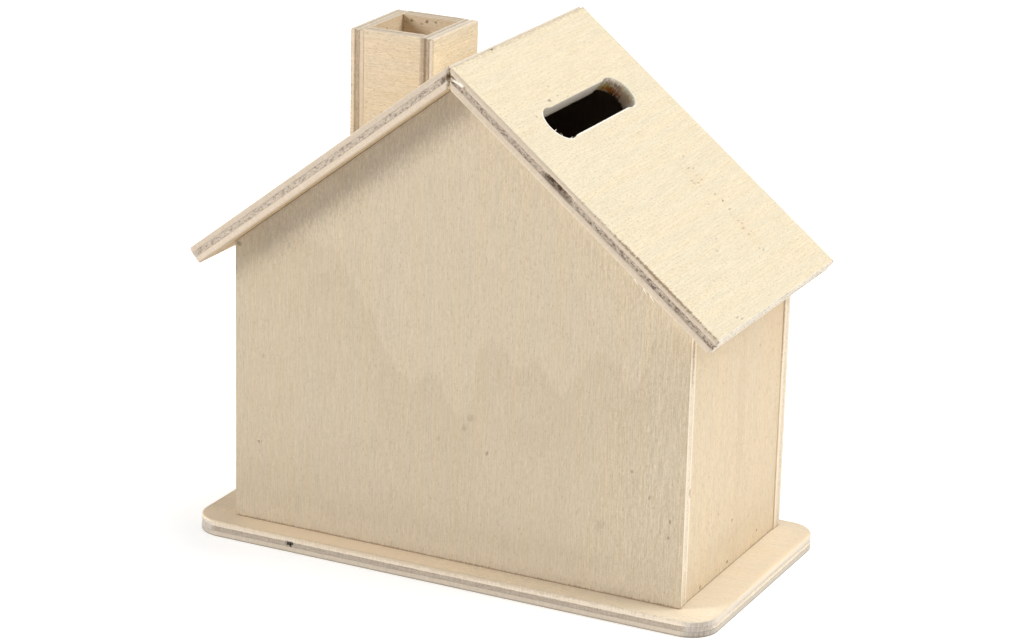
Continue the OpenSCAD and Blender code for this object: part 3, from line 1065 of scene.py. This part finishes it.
LOOKS = {
    # the first colours are tint, then ply_x, core_x, ply_y and core_y
    "base_board": Look(
        (0.79, 0.678, 0.515), "x", (0.74, 0.65, 0.53), (0.75, 0.66, 0.54),
        (0.78, 0.665, 0.525), (0.49, 0.405, 0.32), low_ply=0.8, torn=0.35,
        # painted shade on the base's lower arris, from foot
        fine=0.7, pores=0.3, corner=(0.67, 0.6, 0.53), foot_reach=0.6,
        foot=(0.27, 0.29, 0.3), marks=(
        # painted shade in the void in the front edge; painted light on the front of the base's top,
        # towards the left
        (BASE_VOID, (1.2, 1.6, 0.75), 1, VOID_BLACK_SHADE), ((-38, -31.5, BASE_T), (80, 7.5, 0.8), 1, PALE),
        ((-12, -BASE_W / 2, BASE_T), (78, 0.7, 0.9), 0.35, BROWN),
        ((BASE_L / 2, 8, BASE_T - 0.1), (1.5, 36, 1), 0.5, PALE),
        ((BASE_L / 2, 6, 1.85), (1.5, 44, 0.34), 0.9, PALE))),
    "front_gable": Look(
        (0.567, 0.473, 0.34), "y", **GABLE_EDGE, pores=0.4, inner_shading_to=54,
        figure_line=FIGURE_LINE, foot_light=0.17, crisp_from=25, marks=(
        *under_roof(-1, 0.22), *under_roof(1, 0.1),
        *specks((-57, 72, 0.9, 0.8, 0.5), (-50.5, 45.5, 0.55, 0.6, 0.22),
                (-51.6, 24, 0.8, 0.6, 0.6), (-4, 33.4, 0.8, 0.9, 0.12)),
        *specks((4.2, 39.9, 1, 1.1, 0.65), colour=SMUDGE_AND_SHADE),
        *specks((2.8, 37.2, 0.7, 1, 0.25), (8.6, 32.2, 0.5, 0.8, 0.45),
                (45, 34.8, 0.5, 0.6, 0.35), (49.5, 29.3, 0.45, 0.7, 0.45),
                (54.7, 24.6, 0.34, 0.5, 0.52), (54.4, 20.6, 0.32, 0.5, 0.5)),
        *specks((37.4, 20.4, 1.4, 1.9, 0.45), (20, 37.5, 7, 4.5, 0.08), colour=SMUDGE_AND_SHADE),
        foot_seam(0.5, 0.6, RUST), on_side(GABLE_HALF, 65.5, 1.75, 9, 0.6, 0.6, BROWN),
        # painted shade inside the void in the gable's edge
        on_side(GABLE_HALF, 30.9, 0.6, 1.1, 0.36, 0.9, VOID_SHADE),
        on_side(GABLE_HALF, 16.6, 0, 3.4, 0.3, 0.6, BROWN))),
    "back_gable": Look(
        (0.575, 0.485, 0.355), "y", **GABLE_EDGE, inner_shading_to=54,
        foot_light=0.17, marks=(
        *specks((22, 52, 0.6, 0.7, 0.7), (-31, 31, 0.5, 0.6, 0.7)),
        *specks((-12, 68, 1.6, 2.2, 0.3), colour=SMUDGE_AND_SHADE),
        on_side(-GABLE_HALF, 0, 0, ANY, 0.8, 0.6, PALE),
        on_side(-GABLE_HALF, 58, 0, 16, 0.6, 0.5, RUST), foot_seam(0.45, 0.55))),
    "left_wall": Look(
        (0.71, 0.585, 0.415), "y", **GABLE_EDGE, foot_light=0.11,
        marks=(*specks((5, 33, 0.5, 0.7, 0.7)), foot_seam(0.5, 0.6))),
    "right_wall": Look(
        (0.715, 0.583, 0.402), "y", **GABLE_EDGE, foot_light=0.11, marks=(
        *specks((13.2, 54.6, 0.4, 0.45, 0.5), (-7.7, 19.8, 0.4, 0.6, 0.42),
                (1, 15.5, 0.45, 0.7, 0.7), (16.9, 7.4, 0.4, 0.4, 0.7)),
        *specks((3.5, 40, 3.2, 60, 0.1), colour=SMUDGE_AND_SHADE), foot_seam(0.5, 0.55),
        *specks((-0.9, 5.7, 0.55, 0.5, 0.8), (-16.6, 5, 0.45, 0.6, 0.8)),
        # painted shade: a warmer, darker patch high on the wall, under the eave
        ((BACK_Y - WALL_T - 6, 62, WALL_T), (9, 16, 1.5), 0.3, PEACH))),
    "right_roof_panel": Look(
        (0.81, 0.705, 0.51), "y", **ROOF_EAVE, ply_y=(0.6, 0.493, 0.372), soft=0.16,
        core_y=(0.454, 0.369, 0.283), low_ply=1.04, torn=1.8, pores=0.55,
        worn_from=WORN_FROM, marks=(
        *faint((47.9, 13.9), (48.6, 15.6), (51, 10.6), (51.8, 10.6), (52.2, 12.1),
               (51.9, 14.5), (56.5, 14.1), (61.4, 14), (64.7, 13.2), (65.7, 13.6),
               (66.9, 12.1), (68.8, 12.2), (72.8, 11), (73.7, 12), size=(0.35, 0.75), strength=0.6),
        *faint((44.9, 16.2), (57.7, 8.3), (58.7, 18.3), (65.6, -1.1), (68.1, -5),
               (14.9, -7.6), (17.8, -7.5), (20.1, -21.7), size=(0.35, 0.45), strength=0.6),
        *specks((18, -11.9, 0.5, 0.8, 0.55), face=ROOF_T),
        ((50.1, 12.8, ROOF_T), (4.5, 4.5, 1.5), 0.18, PEACH),
        ((67.3, 12.8, ROOF_T), (6, 3.5, 1.5), 0.2, PEACH),
        *specks((58.8, 14.6, 0.42, 0.5, 0.75), face=ROOF_T),
        # painted shade on the upper part of the drilled end's wall, and painted light on its lower
        # right
        ((20.9, 18.8, 2.9), (3, 2.4, 1.1), 0.6, SMUDGE_AND_SHADE),
        ((28, 18, 1.8), (2.4, 2.6, 2.6), 0.7, PAINTED_LIGHT),
        ((20.4, 18.3, 1.2), (3.4, 3.4, 1.9), 0.85, SINGED),
        ((21.4, 19.3, 0.9), (3.2, 3.2, 1.2), 0.95, BURNT),
        ((22.8, 20, 0.1), (3.6, 3, 0.8), 0.85, CHARRED),
        *specks((83, -20.2, 0.32, 0.9, 0.5), (83.9, -19, 0.3, 1.5, 0.6), face=ROOF_T,
                colour=SMUDGE_AND_SHADE),
        # painted shade: the void in the front edge and the wedge-shaped gap by the ridge are
        # painted dark
        (ROOF_VOID, (4.1, 3, 0.62), 0.95, VOID_SHADE),
        on_front(1.8, 2.35, 1, 0.9, 0.95, WEDGE), on_front(4.2, 2.2, 2.2, 0.22, 0.45, BROWN),
        on_front(3, 2.35, 0.9, 0.32, 0.9, SILK), on_front(3.9, 2.7, 1, 0.4, 0.9, SILK),
        on_front(4.9, 3, 1, 0.42, 0.9, SILK), on_front(5.95, 3.1, 0.3, 0.45, 0.7, RUST),
        ((0, 0, ROOF_T), (1.6, ANY, 2.5), 0.9, HIDE),
        ((0.2, 0, ROOF_T), (0.45, ANY, 1), 0.8, BROWN),
        *specks((0.5, -14.6, 0.7, 0.9, 1), face=ROOF_T),
        ((PANEL_L, 0, ROOF_T), (0.45, ANY, 0.8), 0.65, SMUDGE_AND_SHADE),
        ((PANEL_L, 0, 0), (0.6, ANY, 0.6), 0.55, BROWN),
        ((67, -ROOF_W / 2, ROOF_T - 0.1), (21, 0.8, 0.42), 0.9, BROWN), *ridge_seam(-ROOF_W / 2))),
    "left_roof_panel": Look(
        (0.8, 0.7, 0.515), "y", **ROOF_EAVE, ply_y=(0.6, 0.495, 0.38), soft=0.16,
        core_y=(0.54, 0.446, 0.348), low_ply=1.12, torn=0.8, fine=1.2, foot_reach=0.6,
        # painted shade on the panel's lower arris and on its underside
        foot=(0.8, 0.74, 0.67), inner_shading=(0.66, 0.57, 0.47), marks=(
        *faint((38, 12)), *specks((61, -15, 0.5, 0.6, 0.7), face=ROOF_T),
        # the dark seam under the panel along the gable: a joint, and painted shade in the crease
        ((0, 0.1 - FRONT_Y, 0), (ANY, 0.8, 1), 0.9, RUST),
        # painted shade in the wedge-shaped gap by the ridge
        on_front(1.8, 2.35, 1, 0.8, 0.95, WEDGE, y=ROOF_W / 2), *ridge_seam(ROOF_W / 2))),
    "chimney_left_board": Look(
        (0.73, 0.6, 0.43), "x", (0.78, 0.62, 0.46), (0.5, 0.388, 0.26),
        (0.66, 0.565, 0.44), (0.68, 0.57, 0.43), low_ply=0.88, torn=0.35,
        # painted light on the inner face
        fine=1.3, seam=0.72, seam_w=0.32, inner_shading=(1.15, 1.14, 1.13), marks=(
        ((CHIMNEY_HALF_D, 0, CHIMNEY_T), (0.35, ANY, 0.5), 0.55, BROWN),
        ((0, CHIMNEY_TOP_Z, CHIMNEY_T), (ANY, 0.3, 0.45), 0.45, BROWN),
        *specks((0.1, 120.6, 0.35, 0.5, 0.6), face=0))),
    "chimney_right_board": Look(
        (0.84, 0.73, 0.56), "x", (0.76, 0.63, 0.494), (0.495, 0.387, 0.277),
        (0.74, 0.62, 0.48), (0.78, 0.675, 0.53), low_ply=0.84, torn=0.5,
        fine=1.6, seam=0.7, seam_w=0.34, marks=(
        on_side(-CHIMNEY_HALF_D, 0, 0.5, ANY, 0.8, 0.5, BROWN),
        on_side(-CHIMNEY_HALF_D, 0, 1.3, ANY, 0.35, 0.75, BROWN))),
    "chimney_front_board": Look(
        (0.725, 0.592, 0.424), "x", (0.672, 0.559, 0.438), (0.55, 0.45, 0.328),
        (0.64, 0.535, 0.415), (0.6, 0.495, 0.365), fine=1.3, seam=0.74, seam_w=0.32),
    "chimney_back_board": Look(
        (0.73, 0.6, 0.43), "x", (0.6, 0.49, 0.37), (0.56, 0.46, 0.34),
        (0.54, 0.44, 0.325), (0.62, 0.51, 0.38), fine=1.2, seam=0.72,
        # painted light on the inner face
        seam_w=0.32, inner_shading=(1.08, 1.08, 1.1), marks=specks(
        (31.4, 121.2, 0.55, 0.4, 0.75), (27.5, 121.3, 0.5, 0.5, 0.75),
        (25.1, 121.4, 0.5, 0.4, 0.6), (28.9, 120.6, 0.4, 0.4, 0.4), face=0)),
}


# --- assembly ---

boards = make_boards()
for board in boards:
    piece = board.build()
    piece.data.materials.append(Plywood(board, LOOKS[board.node]).finish())
    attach(piece, "house")
    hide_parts(board.node)

make_fibres({board.node: board.placed for board in boards})
make_stopper()
make_floor()
light_stage()
aim_camera()
